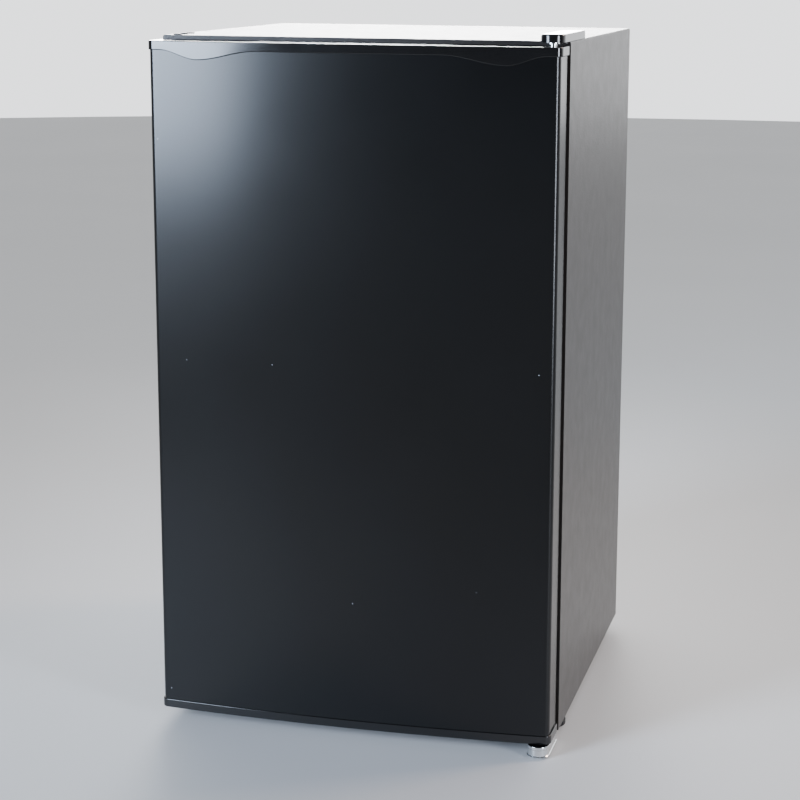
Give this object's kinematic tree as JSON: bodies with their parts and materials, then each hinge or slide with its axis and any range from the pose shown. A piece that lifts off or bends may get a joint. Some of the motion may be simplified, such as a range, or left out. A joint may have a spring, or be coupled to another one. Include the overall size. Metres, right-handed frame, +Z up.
{
  "type": "mini fridge",
  "caption": "compact single-door refrigerator with a bowed door, finger scoops in its top cap, a freezer box inside, glass shelves and a rear compressor and wire condenser",
  "frame": {"origin": "on the floor, under the middle of the overall bounding box", "axes": "+Z up, the door faces -Y, +X is the hinge side"},
  "size_m": [0.48, 0.4932, 0.829],
  "materials": {
    "shell_paint": "satin",
    "door_paint": "gloss",
    "cap_plastic": "gloss",
    "galvanised_sheet": "satin",
    "bright_zinc": "polished",
    "zinc_steel": "satin",
    "foam": "matte",
    "liner_plastic": "satin",
    "bin_plastic": "gloss",
    "gasket_rubber": "matte",
    "black_rubber": "matte",
    "grey_foot_plastic": "matte",
    "black_plastic": "satin",
    "bush_plastic": "satin",
    "roll_bond_aluminium": "satin",
    "white_plastic": "satin",
    "shelf_glass": "gloss",
    "clear_plastic": "gloss",
    "compressor_enamel": "gloss",
    "condenser_enamel": "satin",
    "copper_tube": "satin",
    "lamp_glass": "gloss"
  },
  "bodies": {
    "cabinet": {"back_panel": "galvanised_sheet", "bay_panel": "galvanised_sheet", "bottom_pan": "galvanised_sheet", "cabinet_foam": "foam", "capillary_tube": "copper_tube", "compressor": "compressor_enamel", "compressor_base_plate": "galvanised_sheet", "compressor_bolts": "zinc_steel", "compressor_grommets": "black_rubber", "condenser_brackets": "black_plastic", "condenser_tube": "condenser_enamel", "condenser_wires": "condenser_enamel", "cord_grommet": "black_rubber", "discharge_tube": "copper_tube", "door_switch": "white_plastic", "evaporator": "roll_bond_aluminium", "evaporator_hangers": "white_plastic", "filter_drier": "copper_tube", "foot_nuts": "zinc_steel", "freezer_bezel": "white_plastic", "front_base_rail": "shell_paint", "glass_shelf_lower": "shelf_glass", "glass_shelf_upper": "shelf_glass", "hinge_cover": "cap_plastic", "hinge_hole_plugs": "black_plastic", "hinge_reinforcement": "zinc_steel", "hinge_screws": "bright_zinc", "hinge_washers": "bright_zinc", "inner_liner": "liner_plastic", "lamp": "lamp_glass", "lamp_cover": "clear_plastic", "lamp_holder": "black_plastic", "lower_hinge_bracket": "bright_zinc", "lower_hinge_pin": "bright_zinc", "outer_shell": "shell_paint", "rear_feet": "grey_foot_plastic", "relay_cover": "black_plastic", "shelf_trims_lower": "white_plastic", "shelf_trims_upper": "white_plastic", "suction_tube": "copper_tube", "thermostat": "zinc_steel", "thermostat_housing": "white_plastic", "top_hinge_plate": "bright_zinc", "tube_grommet": "black_rubber"},
    "door": {"door_outer_panel": "door_paint", "door_top_cap": "cap_plastic", "door_bottom_cap": "cap_plastic", "door_liner": "liner_plastic", "door_foam": "foam", "door_gasket": "gasket_rubber", "hinge_bushes": "bush_plastic", "door_bin_upper": "bin_plastic", "door_bin_middle": "bin_plastic", "bottle_rack": "bin_plastic"},
    "flap": {"freezer_flap": "clear_plastic"},
    "tray": {"drip_tray": "white_plastic"},
    "knob": {"thermostat_knob": "white_plastic"},
    "plunger": {"switch_plunger": "white_plastic"},
    "left_foot": {"front_foot_left": "black_plastic"},
    "right_foot": {"front_foot_right": "black_plastic"}
  },
  "joints": [
    {"name": "door_hinge", "type": "hinge", "parent": "cabinet", "child": "door", "pos_m": [0.2255, -0.21235, 0.4155], "axis": [0, 0, 1], "range_deg": [0, 130]},
    {"name": "freezer_flap_hinge", "type": "hinge", "parent": "cabinet", "child": "flap", "pos_m": [0, -0.03235, 0.771], "axis": [-1, 0, 0], "range_deg": [0, 85]},
    {"name": "drip_tray_slide", "type": "slide", "parent": "cabinet", "child": "tray", "axis": [0, -1, 0], "range_m": [0, 0.085]},
    {"name": "thermostat_turn", "type": "hinge", "parent": "cabinet", "child": "knob", "pos_m": [0.163, -0.00335, 0.555], "axis": [1, 0, 0], "range_deg": [0, 270]},
    {"name": "plunger_slide", "type": "slide", "parent": "cabinet", "child": "plunger", "axis": [0, -1, 0], "range_m": [0, 0.006]},
    {"name": "left_foot_screw", "type": "hinge", "parent": "cabinet", "child": "left_foot", "pos_m": [-0.22, -0.12935, 0.01], "axis": [0, 0, 1], "range_deg": [0, 2790]},
    {"name": "right_foot_screw", "type": "hinge", "parent": "cabinet", "child": "right_foot", "pos_m": [0.22, -0.12935, 0.01], "axis": [0, 0, 1], "range_deg": [0, 2790]}
  ],
  "couplings": [
    {"joint": "plunger_slide", "follows": "door_hinge", "m_per_rad": 0.0026444}
  ]
}
